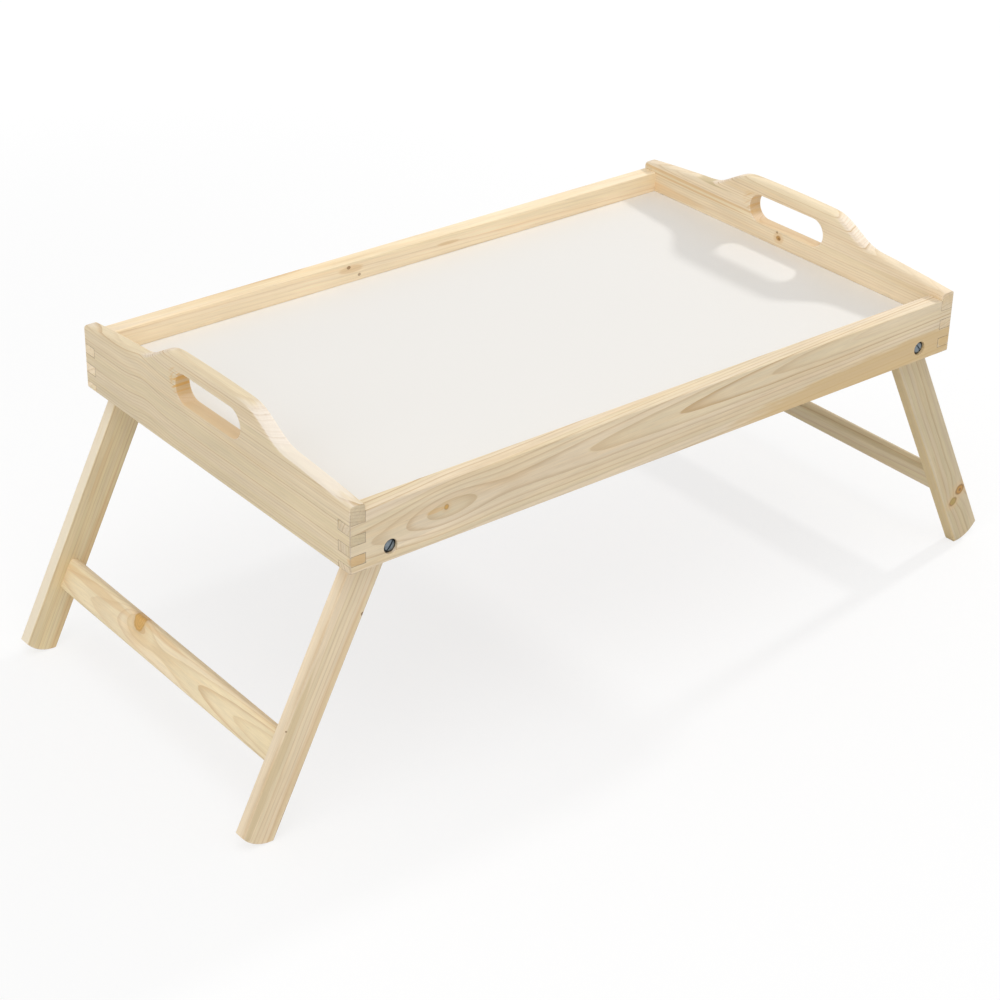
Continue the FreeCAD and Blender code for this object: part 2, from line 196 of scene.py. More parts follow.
class NodeMaker:
    """Adds nodes to one node tree and links them; a value may be a number, a colour or another socket."""

    def __init__(self, tree):
        self.tree = tree

    def put(self, socket, value):
        """Set a socket, or link another one to it."""
        if isinstance(value, bpy.types.NodeSocket):
            self.tree.links.new(value, socket)
        elif value is not None:
            socket.default_value = value

    def add(self, kind, inputs=None, **settings):
        """New node, with its inputs by name or number."""
        node = self.tree.nodes.new(kind)
        for name, value in settings.items():
            setattr(node, name, value)
        for name, value in (inputs or {}).items():
            self.put(node.inputs[name], value)
        return node

    def math(self, operation, first, second=None, third=None, clamp=False):
        node = self.add("ShaderNodeMath", operation=operation, use_clamp=clamp)
        for socket, value in zip(node.inputs, (first, second, third)):
            self.put(socket, value)
        return node.outputs[0]

    def times(self, first, second, clamp=False):
        return self.math("MULTIPLY", first, second, clamp=clamp)

    def plus(self, first, second):
        return self.math("ADD", first, second)

    def minus(self, first, second):
        return self.math("SUBTRACT", first, second)

    def hypot(self, first, second):
        """Length of a step whose two parts are at right angles."""
        squares = self.plus(self.math("POWER", first, 2.0), self.math("POWER", second, 2.0))
        return self.math("SQRT", squares)

    def step(self, value, low, high):
        """Smooth climb from 0 at low to 1 at high; low may be the larger one."""
        node = self.add("ShaderNodeMapRange", interpolation_type="SMOOTHSTEP")
        self.put(node.inputs["Value"], value)
        falls = not isinstance(low, bpy.types.NodeSocket) and low > high
        self.put(node.inputs["From Min"], high if falls else low)
        self.put(node.inputs["From Max"], low if falls else high)
        self.put(node.inputs["To Min"], 1.0 if falls else 0.0)
        self.put(node.inputs["To Max"], 0.0 if falls else 1.0)
        return node.outputs["Result"]

    def mix(self, factor, first, second, blend="MIX"):
        """First colour at factor 0, and second at 1."""
        node = self.add("ShaderNodeMix", data_type="RGBA", blend_type=blend)
        self.put(node.inputs[MIX_FACTOR], factor)
        self.put(node.inputs[MIX_FIRST], first)
        self.put(node.inputs[MIX_SECOND], second)
        return node.outputs[MIX_RESULT]

    def noise(self, place, detail=2.0, roughness=0.5, stretch=(1, 1, 1), shift=(0, 0, 0), turn=(0, 0, 0)):
        """Soft noise from 0 to 1 with so many swings to the metre in each direction."""
        turned = self.add("ShaderNodeMapping", {"Vector": place, "Rotation": turn}).outputs[0]
        mapping = self.add("ShaderNodeMapping", {"Vector": turned, "Scale": stretch, "Location": shift})
        return self.add("ShaderNodeTexNoise", {"Vector": mapping.outputs[0], "Scale": 1.0, "Detail": detail,
                                               "Roughness": roughness}).outputs[0]

    def vector(self, operation, first, second):
        return self.add("ShaderNodeVectorMath", {0: first, 1: second}, operation=operation).outputs[0]

    def absolute(self, vector):
        return self.add("ShaderNodeVectorMath", {0: vector}, operation="ABSOLUTE").outputs[0]

    def length(self, vector):
        return self.add("ShaderNodeVectorMath", {0: vector}, operation="LENGTH").outputs["Value"]

    def split(self, vector):
        return self.add("ShaderNodeSeparateXYZ", {"Vector": vector}).outputs

    def grey(self, value):
        return self.add("ShaderNodeCombineColor", {"Red": value, "Green": value, "Blue": value}).outputs[0]

    def bump(self, shader, height, strength, distance):
        """Fine relief on a shader's surface."""
        relief = self.add("ShaderNodeBump", {"Height": height, "Strength": strength, "Distance": distance})
        self.put(shader.inputs["Normal"], relief.outputs[0])


def new_group(name, inputs, outputs):
    """Shader node group with named sockets; returns the group, its maker and its input and output nodes."""
    kinds = {"float": "NodeSocketFloat", "vector": "NodeSocketVector", "colour": "NodeSocketColor"}
    group = bpy.data.node_groups.new(name, "ShaderNodeTree")
    for socket, kind in inputs:
        group.interface.new_socket(socket, in_out="INPUT", socket_type=kinds[kind])
    for socket, kind in outputs:
        group.interface.new_socket(socket, in_out="OUTPUT", socket_type=kinds[kind])
    maker = NodeMaker(group)
    given = group.nodes.new("NodeGroupInput").outputs
    result = group.nodes.new("NodeGroupOutput").inputs
    return group, maker, given, result


def use_group(maker, group, inputs):
    """Place a node group with its inputs by name; returns its outputs."""
    node = maker.add("ShaderNodeGroup", node_tree=group)
    for name, value in inputs.items():
        maker.put(node.inputs[name], value)
    return node.outputs


def knot_group():
    """One branch that runs outwards from the pith, and the way it pushes the growth rings aside."""
    group, make, given, result = new_group(
        "pine_knot",
        [("Log Place", "vector"), ("Root", "float"), ("Angle", "float"), ("Radius", "float"),
         ("Swell", "float"), ("Reach", "float")],
        [("Bend", "float"), ("Core", "float"), ("Rim", "float"), ("Glow", "float"), ("Rings", "float")])
    along, across, deep = make.split(given["Log Place"])
    cosine = make.math("COSINE", given["Angle"])
    sine = make.math("SINE", given["Angle"])
    outward = make.plus(make.times(across, cosine), make.times(deep, sine))
    aside = make.minus(make.times(deep, cosine), make.times(across, sine))
    lean = make.times(outward, BRANCH_LEAN)
    ahead = make.minus(make.minus(along, given["Root"]), lean)
    front = make.step(outward, 0.0, 0.004)
    wobble = make.noise(given["Log Place"], 2.0, 0.5, (260, 260, 260))
    wobble = make.times(make.minus(wobble, 0.5), given["Radius"])
    reach = make.plus(make.hypot(ahead, aside), make.times(wobble, 0.4))
    share = make.math("DIVIDE", reach, given["Radius"])
    core = make.step(share, 1.08, 0.88)
    rim = make.times(make.step(share, 0.62, 0.95), make.step(share, 1.5, 1.0))
    glow = make.step(share, 3.4, 1.0)
    spread = make.math("DIVIDE", make.hypot(make.times(ahead, 0.5), aside), given["Reach"])
    fading = make.math("EXPONENT", make.times(make.math("POWER", spread, 2.0), -1.0))
    make.put(result["Bend"], make.times(make.times(fading, front), given["Swell"]))
    make.put(result["Core"], make.times(core, front))
    make.put(result["Rim"], make.times(rim, front))
    make.put(result["Glow"], make.times(glow, front))
    make.put(result["Rings"], make.math("FRACT", make.times(share, 3.2)))
    return group


def patch_group():
    """Soft-edged patch that is drawn out along the grain."""
    group, make, given, result = new_group(
        "pine_patch",
        [("Log Place", "vector"), ("Centre", "vector"), ("Size", "vector")],
        [("Mask", "float")])
    offset = make.vector("SUBTRACT", given["Log Place"], given["Centre"])
    share = make.length(make.vector("DIVIDE", offset, given["Size"]))
    wobble = make.noise(given["Log Place"], 3.0, 0.6, (40, 320, 320))
    share = make.math("MULTIPLY_ADD", make.minus(wobble, 0.5), 0.7, share)
    make.put(result["Mask"], make.step(share, 1.15, 0.75))
    return group


def figure_group():
    """Growth rings, fibres and resin of sawn pine, in the log's coordinates with X along its pith."""
    group, make, given, result = new_group(
        "pine_figure",
        [("Log Place", "vector"), ("Ring Width", "float"), ("Wander", "float"), ("Bend", "float")],
        [("Latewood", "float"), ("Comb", "float"), ("Year", "float"), ("Fibre", "float"), ("Fleck", "float"),
         ("Streak", "float"), ("Blotch", "float")])
    place = given["Log Place"]
    along, across, deep = make.split(place)
    radius = make.hypot(across, deep)
    slow = make.minus(make.noise(place, 2.0, 0.5, (3.2, 13, 13)), 0.5)
    quick = make.minus(make.noise(place, 3.0, 0.5, (22, 90, 90)), 0.5)
    radius = make.plus(radius, make.times(slow, given["Wander"]))
    radius = make.plus(radius, make.times(make.times(quick, 0.6), given["Wander"]))
    radius = make.minus(radius, given["Bend"])
    years = make.math("DIVIDE", radius, given["Ring Width"])
    part = make.math("FRACT", years)
    whole = make.plus(make.math("FLOOR", years), FIRST_YEAR)
    year = make.add("ShaderNodeTexWhiteNoise", {"W": whole}, noise_dimensions="1D").outputs["Value"]
    tint = make.add("ShaderNodeTexWhiteNoise", {"W": make.plus(whole, 0.5)}, noise_dimensions="1D")
    late = make.times(make.step(part, 0.30, 0.95), make.step(part, 1.0, 0.95))
    late = make.math("POWER", late, 2.2)
    late = make.times(late, make.math("MULTIPLY_ADD", make.math("POWER", year, 2.0), 0.82, 0.20))
    make.put(result["Latewood"], late)
    comb = make.math("FRACT", make.times(years, 1.7))
    make.put(result["Comb"], make.times(make.step(comb, 0.30, 0.85), make.step(comb, 1.0, 0.85)))
    make.put(result["Year"], tint.outputs["Value"])
    fine = make.noise(place, 3.0, 0.6, (30, 1300, 1300))
    broad = make.noise(place, 3.0, 0.6, (14, 380, 380), (1, 4, 2))
    fibre = make.math("MULTIPLY_ADD", make.minus(broad, fine), 0.5, fine)
    make.put(result["Fibre"], make.step(fibre, 0.3, 0.7))
    fleck = make.noise(place, 1.0, 0.5, (90, 1900, 1900), (5, 3, 1))
    make.put(result["Fleck"], make.step(fleck, 0.66, 0.76))
    streak = make.noise(place, 3.0, 0.55, (5, 95, 95), (3, 1, 8))
    make.put(result["Streak"], make.step(streak, 0.48, 0.72))
    make.put(result["Blotch"], make.noise(place, 3.0, 0.55, (9, 36, 36), (2, 7, 4)))
    return group


def pine_surface_group(figure):
    """Colour, roughness and height of raw sanded pine, from its figure, its knots and its end grain."""
    group, make, given, result = new_group(
        "pine_surface",
        [("Log Place", "vector"), ("Log Facing", "vector"), ("Ring Width", "float"), ("Wander", "float"),
         ("Bend", "float"), ("Knot", "float"), ("Knot Rim", "float"), ("Knot Glow", "float"),
         ("Knot Rings", "float"), ("Contrast", "float"), ("Streaks", "float"), ("Tone", "float"),
         ("Greening", "float"), ("Roughness", "float"), ("Earlywood", "colour"), ("Olive", "colour"),
         ("Latewood", "colour"), ("Resin", "colour"), ("Knot Colour", "colour")],
        [("Colour", "colour"), ("Roughness", "float"), ("Height", "float")])
    parts = use_group(make, figure, {name: given[name] for name in
                                     ("Log Place", "Ring Width", "Wander", "Bend")})
    facing = make.math("ABSOLUTE", make.split(given["Log Facing"])[0])
    end = make.step(facing, 0.55, 0.85)
    slant = make.times(make.step(facing, 0.10, 0.40), make.step(facing, 0.85, 0.60))
    strength = make.times(given["Contrast"], make.math("MULTIPLY_ADD", slant, 0.45, 1.0))
    late = make.times(parts["Latewood"], strength, clamp=True)
    late = make.math("MAXIMUM", late, make.times(make.times(parts["Comb"], slant), 0.30))
    olive = make.math("MULTIPLY_ADD", parts["Year"], 0.45, given["Greening"], clamp=True)
    colour = make.mix(olive, given["Earlywood"], given["Olive"])
    colour = make.mix(make.times(slant, 0.6), colour, CROSS_CUT)
    streak = make.times(parts["Streak"], given["Streaks"])
    colour = make.mix(streak, colour, given["Resin"])
    colour = make.mix(late, colour, given["Latewood"])
    tone = make.math("MULTIPLY_ADD", parts["Fibre"], 0.15, 0.90)
    tone = make.times(tone, make.math("MULTIPLY_ADD", parts["Blotch"], 0.22, 0.90))
    tone = make.times(tone, make.math("MULTIPLY_ADD", end, -0.10, given["Tone"]))
    tone = make.minus(tone, make.times(parts["Fleck"], 0.09))
    colour = make.mix(1.0, colour, make.grey(tone), "MULTIPLY")
    colour = make.mix(make.times(given["Knot Glow"], 0.45), colour, given["Resin"])
    bark = make.mix(1.0, given["Knot Colour"], BARK_SHADE, "MULTIPLY")
    heart = make.mix(make.times(given["Knot Rings"], 0.32), given["Knot Colour"], bark)
    colour = make.mix(make.times(given["Knot"], 0.95), colour, heart)
    colour = make.mix(given["Knot Rim"], colour, bark)
    make.put(result["Colour"], colour)
    rough = make.math("MULTIPLY_ADD", parts["Fibre"], 0.10, given["Roughness"])
    rough = make.minus(rough, make.times(parts["Latewood"], 0.08))
    rough = make.minus(rough, make.times(given["Knot"], 0.15))
    make.put(result["Roughness"], make.math("MULTIPLY_ADD", end, 0.12, rough))
    height = make.math("MULTIPLY_ADD", parts["Latewood"], 0.35, make.times(parts["Fibre"], 0.5))
    make.put(result["Height"], make.minus(height, make.times(parts["Fleck"], 0.5)))
    return group


def hand_hole_group():
    """Walls of a hand hole, and the short slanting tears at one of its ends."""
    group, make, given, result = new_group(
        "hand_hole", [("Place", "vector"), ("Normal", "vector")], [("Wall", "float"), ("Tear", "float")])
    rim, fade = 0.002, 0.001
    hole_z = tray_bottom + HOLE_HEIGHT
    tear_centre, tear_size = (0.0, 0.0345, hole_z + 0.003), (10.0, 0.0110, 0.0115)
    x, y, z = make.split(given["Place"])
    flat = make.math("ABSOLUTE", make.split(given["Normal"])[0])
    reach = make.math("ABSOLUTE", y)
    height = make.math("ABSOLUTE", make.minus(z, hole_z))
    window = make.times(make.step(reach, HOLE_HALF_LENGTH + rim + fade, HOLE_HALF_LENGTH + rim),
                        make.step(height, HOLE_HALF_HEIGHT + rim + fade, HOLE_HALF_HEIGHT + rim))
    marks = make.noise(given["Place"], 2.0, 0.5, (60, 420, 420))
    ends = make.step(reach, 0.020, 0.034)
    depth = make.math("MULTIPLY_ADD", marks, 0.35, make.math("MULTIPLY_ADD", ends, 0.25, 0.6))
    wall = make.times(window, make.step(flat, 0.80, 0.35))
    make.put(result["Wall"], make.times(wall, depth, clamp=True))
    offset = make.vector("SUBTRACT", given["Place"], tear_centre)
    share = make.length(make.vector("DIVIDE", offset, tear_size))
    hairs = make.noise(given["Place"], 2.0, 0.6, (1, 60, 800), turn=(math.radians(34), 0, 0))
    tear = make.times(make.step(hairs, 0.47, 0.62), make.step(share, 1.0, 0.45))
    make.put(result["Tear"], tear)
    return group


def joint_group():
    """Painted shade: fine dark lines on the eased edges of the corner fingers, in the grooves between them.
    """
    group, make, given, result = new_group("joint_shade_lines", [("Place", "vector"), ("Normal", "vector")],
                                           [("Line", "float")])
    joint_margin, skin = 0.0006, 0.0004
    nx, ny, nz = make.split(make.absolute(given["Normal"]))
    slanted = make.step(make.math("MAXIMUM", nx, make.math("MAXIMUM", ny, nz)), 0.97, 0.93)
    x, y, z = make.split(make.absolute(given["Place"]))
    corner = make.times(make.math("GREATER_THAN", x, board_low.x - joint_margin),
                        make.math("GREATER_THAN", y, -rail_high.y - joint_margin))
    outer = make.times(make.math("GREATER_THAN", x, board_high.x - skin),
                       make.math("GREATER_THAN", y, -rail_low.y - skin))
    within = make.times(make.math("GREATER_THAN", z, tray_bottom + skin),
                        make.math("LESS_THAN", z, rail_high.z - skin))
    line = make.times(slanted, make.times(corner, within))
    make.put(result["Line"], make.times(line, make.minus(1.0, outer)))
    return group


def new_material(name, base_roughness, specular=0.5, metallic=0.0):
    """Material with an empty tree but for its Principled shader; returns it, its maker and the shader."""
    material = bpy.data.materials.new(name)
    material.use_nodes = True
    material.node_tree.nodes.clear()
    make = NodeMaker(material.node_tree)
    shader = make.add("ShaderNodeBsdfPrincipled", {"Roughness": base_roughness, "Metallic": metallic,
                                                   "Specular IOR Level": specular})
    make.add("ShaderNodeOutputMaterial", {"Surface": shader.outputs[0]})
    return material, make, shader


def log_frame(along, wide, centre, pith, drift):
    """Rotation and shift that take a point of a board to its log, whose pith is the X axis.

    pith is where the log's middle passes the board's centre, across the board and through it; drift is how
    far it strays in these two directions for each unit along the board.
    """
    along = along.normalized()
    wide = (wide - along * wide.dot(along)).normalized()
    deep = along.cross(wide)
    axis = (along + wide * drift[0] + deep * drift[1]).normalized()
    across = (wide - axis * wide.dot(axis)).normalized()
    turn = Matrix((axis, across, axis.cross(across)))
    return turn, -(turn @ (centre + wide * pith[0] + deep * pith[1]))


# A knot swells the rings over it by so much, within a reach; outline is the strength of its dark rim. A knot
# of nearly no radius only bends the rings.
Knot = namedtuple("Knot", "spot radius swell reach outline")

# A stain's size is measured along its board, across it and through it.
Stain = namedtuple("Stain", "spot size colour strength")

# Strengths of the browning of a hand hole's walls and of the tears at its back end.
HoleMarks = namedtuple("HoleMarks", "browned torn")


class PineBoard:
    """How one board was cut from its log, with its knots and stains.

    rings is its ring width as a share of the usual one, wander how far the rings stray from round, contrast,
    streaks and greening the strengths of its lines, of its resin and of its olive cast, and tone its
    lightness. lit_tops are patches of painted highlight that only colour the faces that look up.
    """

    def __init__(self, along, wide, centre, pith, drift=(0.0, 0.0), rings=1.0, wander=0.004, contrast=0.8,
                 streaks=0.3, greening=0.05, tone=1.0, knots=(), stains=(), lit_tops=()):
        self.turn, self.shift = log_frame(along, wide, centre, pith, drift)
        self.rings = rings
        self.wander = wander
        self.contrast = contrast
        self.streaks = streaks
        self.greening = greening
        self.tone = tone
        self.knots = knots
        self.stains = stains
        self.lit_tops = lit_tops

    def in_log(self, place):
        return self.turn @ place + self.shift

    def branch(self, place):
        """Root along the pith and angle about it of the branch that comes out at a place on the board."""
        spot = self.in_log(place)
        outward = math.hypot(spot.y, spot.z)
        return spot.x - BRANCH_LEAN * outward, math.atan2(spot.z, spot.y)


def pine_material(name, board, wood, hand_hole_marks=None, fingers=False):
    """Raw pine, cut as the board says; fingers adds painted shade along the eased edges of the corner joints.
    """
    groups = wood_groups()
    material, make, shader = new_material(name, wood.roughness)
    source = make.add("ShaderNodeTexCoord").outputs
    turn = board.turn.to_euler("XYZ")
    place = make.add("ShaderNodeMapping", {"Vector": source["Object"], "Rotation": turn,
                                           "Location": board.shift}).outputs[0]
    facing = make.add("ShaderNodeMapping", {"Vector": source["Normal"], "Rotation": turn},
                      vector_type="VECTOR").outputs[0]
    bend = core = rim = glow = rings = 0.0
    for knot in board.knots:
        root, angle = board.branch(knot.spot)
        marks = use_group(make, groups["pine_knot"], {
            "Log Place": place, "Root": root, "Angle": angle, "Radius": knot.radius, "Swell": knot.swell,
            "Reach": knot.reach})
        bend = make.plus(bend, marks["Bend"])
        core = make.math("MAXIMUM", core, marks["Core"])
        rim = make.math("MAXIMUM", rim, make.times(marks["Rim"], knot.outline))
        glow = make.math("MAXIMUM", glow, marks["Glow"])
        rings = make.plus(make.times(marks["Rings"], marks["Core"]), rings)
    surface = use_group(make, groups["pine_surface"], {
        "Log Place": place, "Log Facing": facing, "Ring Width": wood.ring_width * board.rings,
        "Wander": board.wander, "Bend": bend, "Knot": core, "Knot Rim": rim, "Knot Glow": glow,
        "Knot Rings": rings, "Contrast": board.contrast, "Streaks": board.streaks, "Tone": board.tone,
        "Greening": board.greening, "Roughness": wood.roughness, "Earlywood": tuple(wood.earlywood),
        "Olive": tuple(wood.olive), "Latewood": tuple(wood.latewood), "Resin": tuple(wood.resin),
        "Knot Colour": tuple(wood.knot)})
    colour = surface["Colour"]
    # Painted highlight: the lit_tops patches colour only the faces that look up
    up = make.step(make.split(source["Normal"])[2], 0.40, 0.70) if board.lit_tops else 1.0
    for stain, faces in [(stain, 1.0) for stain in board.stains] + [(stain, up) for stain in board.lit_tops]:
        patch = use_group(make, groups["pine_patch"], {"Log Place": place, "Centre": board.in_log(stain.spot),
                                                       "Size": stain.size})
        share = make.times(make.times(patch["Mask"], stain.strength), faces)
        colour = make.mix(share, colour, stain.colour)
    if hand_hole_marks:
        hole = use_group(make, groups["hand_hole"], {"Place": source["Object"], "Normal": source["Normal"]})
        browned = make.times(hole["Wall"], hand_hole_marks.browned)
        torn = make.times(hole["Tear"], hand_hole_marks.torn)
        colour = make.mix(browned, colour, tuple(wood.tooled))
        colour = make.mix(torn, colour, tuple(wood.knot))
    if fingers:
        line = use_group(make, groups["joint_shade_lines"], {"Place": source["Object"], "Normal": source["Normal"]})
        # Painted shade in the grooves between the corner fingers
        colour = make.mix(make.times(line["Line"], 0.75), colour, JOINT_SHADOW)
    make.put(shader.inputs["Base Color"], colour)
    make.put(shader.inputs["Roughness"], surface["Roughness"])
    make.bump(shader, surface["Height"], 0.35, 0.00012)
    return material


def panel_material(settings):
    """White faced hardboard: a satin face on top, pressed fibre underneath."""
    material, make, shader = new_material("white_panel_face", settings.roughness)
    source = make.add("ShaderNodeTexCoord").outputs
    place = source["Object"]
    under = make.step(make.split(source["Normal"])[2], -0.4, -0.8)
    mottle = make.noise(place, 3.0, 0.5, (14, 14, 14))
    peel = make.noise(place, 2.0, 0.5, (420, 420, 420))
    fibre = make.noise(place, 4.0, 0.7, (300, 300, 300))
    waves = {"Vector": place, "Scale": 160.0, "Distortion": 0.6}
    mesh_x = make.add("ShaderNodeTexWave", waves, bands_direction="X").outputs["Fac"]
    mesh_y = make.add("ShaderNodeTexWave", waves, bands_direction="Y").outputs["Fac"]
    face = make.mix(make.times(mottle, 0.05), tuple(settings.face), DULL_WHITE)
    back = make.mix(make.times(fibre, 0.6), tuple(settings.back), DARK_FIBRE)
    make.put(shader.inputs["Base Color"], make.mix(under, face, back))
    rough = make.math("MULTIPLY_ADD", mottle, 0.08, settings.roughness)
    make.put(shader.inputs["Roughness"], make.math("MULTIPLY_ADD", under, 0.35, rough))
    screen = make.times(make.times(mesh_x, mesh_y), under)
    make.bump(shader, make.math("MULTIPLY_ADD", peel, 0.25, screen), 0.3, 0.0001)
    return material


def turned_metal_material(name, colour, roughness, stain):
    """Plated steel with fine turning marks round each pivot, a little dulling, and painted counterbore shade.
    """
    material, make, shader = new_material(name, roughness, metallic=1.0)
    source = make.add("ShaderNodeTexCoord")
    x, y, z = make.split(source.outputs["Object"])
    across = make.minus(make.math("ABSOLUTE", x), pivot.x)
    up = make.minus(z, pivot.z)
    radius = make.hypot(across, up)
    rings = make.add("ShaderNodeCombineXYZ", {"X": radius, "Y": y})
    marks = make.noise(rings.outputs[0], 3.0, 0.6, (5200, 900, 1))
    cloud = make.noise(source.outputs["Object"], 3.0, 0.5, (520, 520, 520))
    dull = make.step(cloud, 0.45, 0.75)
    plate = make.mix(make.times(dull, 0.5), colour, stain)
    # Painted shade: all zinc beyond about 3 to 4 mm from a pivot's axis is darkened, for the counterbore
    # round the head
    rim = make.times(make.step(radius, 0.0029, 0.0040), 0.9)
    make.put(shader.inputs["Base Color"], make.mix(rim, plate, COUNTERBORE_SHADE))
    rough = make.math("MULTIPLY_ADD", dull, 0.22, roughness)
    make.put(shader.inputs["Roughness"], make.math("MULTIPLY_ADD", marks, 0.12, rough))
    make.bump(shader, marks, 0.25, 0.00004)
    return material


# ---- Pieces ----

def dress(node, material):
    """Give a CAD node's object a finished material."""
    for slot in frame["nodes"][node].material_slots:
        slot.material = material


def on_skin(edge, node):
    """Whether an edge is on the tray's outer faces, or on the top of a rail."""
    middle = (edge.verts[0].co + edge.verts[1].co) / 2
    near = 1e-4
    outer = abs(middle.x) > board_high.x - near or abs(middle.y) > -rail_low.y - near
    return outer or (node.endswith("rail") and middle.z > rail_high.z - near)


def is_sharp(edge):
    """Whether an edge lies between two faces that meet at a marked angle."""
    return len(edge.link_faces) == 2 and edge.calc_face_angle(0.0) > math.radians(40)


def eased_copy(node, body, width, material):
    """Copy of a board whose sawn edges are eased, standing for the CAD node."""
    source = frame["nodes"][node]
    mesh = bpy.data.meshes.new(node + "_eased")
    shape = bmesh.new()
    shape.from_mesh(source.data)
    bmesh.ops.remove_doubles(shape, verts=shape.verts, dist=2e-6)
    bmesh.ops.dissolve_limit(shape, angle_limit=math.radians(0.4), verts=shape.verts, edges=shape.edges)
    sharp = [edge for edge in shape.edges if is_sharp(edge) and on_skin(edge, node)]
    bmesh.ops.bevel(shape, geom=sharp, offset=width, offset_type="OFFSET", affect="EDGES", segments=2,
                    profile=0.5, material=-1, clamp_overlap=False)
    for face in shape.faces:
        face.smooth = True
    shape.to_mesh(mesh)
    shape.free()
    mesh.set_sharp_from_angle(angle=math.radians(28))
    mesh.materials.append(material)
    piece = bpy.data.objects.new(node + "_eased", mesh)
    bpy.context.scene.collection.objects.link(piece)
    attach(piece, body)
    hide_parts(node)
    return piece


def wood_groups():
    """The pine's node groups, made once."""
    made = bpy.data.node_groups
    if "pine_surface" not in made:
        knot_group()
        patch_group()
        pine_surface_group(figure_group())
        hand_hole_group()
        joint_group()
    return made


def on_rail(x, up, y):
    """Point on a rail, from its height above the tray's bottom edge."""
    return Vector((x, y, tray_bottom + up))


def on_leg(side, drop, out, y):
    """Point on an opened leg, from its distance down from the pivot and out from its middle line."""
    sign = -1 if side == "left" else 1
    x = pivot.x + drop * math.sin(leg_splay) + out * math.cos(leg_splay)
    z = pivot.z - drop * math.cos(leg_splay) + out * math.sin(leg_splay)
    return Vector((sign * x, y, z))


def leg_directions(side):
    """Directions along a leg and across it, away from the lap."""
    sign = -1 if side == "left" else 1
    down = Vector((sign * math.sin(leg_splay), 0, -math.cos(leg_splay)))
    out = Vector((sign * math.cos(leg_splay), 0, math.sin(leg_splay)))
    return down, out


def centre_of(node):
    """Middle of a node's box at rest."""
    low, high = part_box(node)
    return (low + high) / 2


def front_rail_board(wood):
    """Pointed rings beside a pin knot, a honey stain low at the right and a chip on the top edge."""
    face, inner = rail_low.y, rail_high.y
    return PineBoard(
        X_AXIS, Z_AXIS, centre_of("front_rail"), pith=(0.0080, 0.0188), drift=(0.046, -0.033), rings=0.857,
        wander=0.0014, contrast=1.15, streaks=0.25, tone=0.98,
        knots=[Knot(on_rail(-0.1807, 0.0222, face), 0.0015, swell=0.0050, reach=0.0150, outline=0.42)],
        stains=[
            Stain(on_rail(0.1950, 0.0080, face), (0.1500, 0.0105, 0.0300), HONEY, 0.75),
            Stain(on_rail(-0.1890, 0.0222, face), (0.0070, 0.0016, 0.0040), tuple(wood.knot), 0.35),
            Stain(on_rail(-0.1895, 0.0400, inner), (0.0078, 0.0012, 0.0007), CHIP, 0.9)])


def back_rail_board(wood):
    """Straight pale rings, with two small knots in a resin streak."""
    low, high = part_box("back_rail")
    face, outer, resin = low.y, high.y, tuple(wood.resin)
    return PineBoard(
        X_AXIS, Z_AXIS, centre_of("back_rail"), pith=(-0.0620, 0.0300), drift=(-0.020, 0.010), rings=1.1,
        contrast=0.6, streaks=0.35, tone=1.18,
        stains=[
            Stain(on_rail(-0.0440, 0.0345, face), (0.0110, 0.0028, 0.0040), resin, 0.5),
            Stain(on_rail(-0.0460, 0.0362, face), (0.0017, 0.0014, 0.0020), KNOT_BARK, 0.75),
            Stain(on_rail(-0.0370, 0.0290, face), (0.0013, 0.0012, 0.0020), KNOT_BARK, 0.65),
            Stain(on_rail(0.0410, 0.0330, face), (0.0100, 0.0014, 0.0040), resin, 0.5),
            Stain(on_rail(-0.1020, 0.0400, outer), (0.0300, 0.0020, 0.0030), resin, 0.6)])


class BEDTRAY_OT_rails(Operator):
    """Finish the two long rails"""
    bl_idname = "bed_tray.rails"
    bl_label = "Rails"

    def execute(self, context):
        wood = context.scene.bed_tray_wood
        for node, board in (("front_rail", front_rail_board(wood)), ("back_rail", back_rail_board(wood))):
            material = pine_material("pine_" + node, board, wood, fingers=True)
            eased_copy(node, "tray", wood.eased_edge, material)
        return {"FINISHED"}


def right_end_board(wood):
    """Fine straight rings, with resin lines towards the back and a small double knot under the hand hole."""
    inner, resin = board_low.x, tuple(wood.resin)
    return PineBoard(
        Y_AXIS, Z_AXIS, centre_of("end_board_right"), pith=(-0.0900, 0.0200), drift=(0.012, 0.006),
        rings=0.65, wander=0.003, contrast=0.80, streaks=0.30, tone=1.06,
        stains=[
            Stain(on_rail(inner, 0.0355, 0.0073), (0.0011, 0.0009, 0.0020), KNOT_BARK, 0.7),
            Stain(on_rail(inner, 0.0317, 0.0055), (0.0055, 0.0040, 0.0040), resin, 0.45),
            Stain(on_rail(inner, 0.0317, 0.0055), (0.0026, 0.0021, 0.0030), KNOT_AMBER, 0.85),
            Stain(on_rail(inner, 0.0313, 0.0049), (0.0012, 0.0010, 0.0020), KNOT_BARK, 0.7),
            Stain(on_rail(inner, 0.0499, -0.1186), (0.0020, 0.0013, 0.0020), KNOT_OLIVE, 0.7),
            Stain(on_rail(inner, 0.0425, 0.0950), (0.0700, 0.0013, 0.0200), resin, 0.65),
            Stain(on_rail(inner, 0.0390, 0.1000), (0.0650, 0.0009, 0.0200), resin, 0.65),
            Stain(on_rail(inner, 0.0505, 0.1050), (0.0450, 0.0011, 0.0200), KNOT_OLIVE, 0.45),
            Stain(on_rail(inner, 0.0290, 0.1250), (0.0400, 0.0035, 0.0200), resin, 0.40),
            Stain(on_rail(inner, 0.0527, -0.0870), (0.0060, 0.0020, 0.0060), resin, 0.70),
            Stain(on_rail(0.2445, 0.0100, rail_low.y), (0.0040, 0.0060, 0.0060), HONEY, 0.8)])


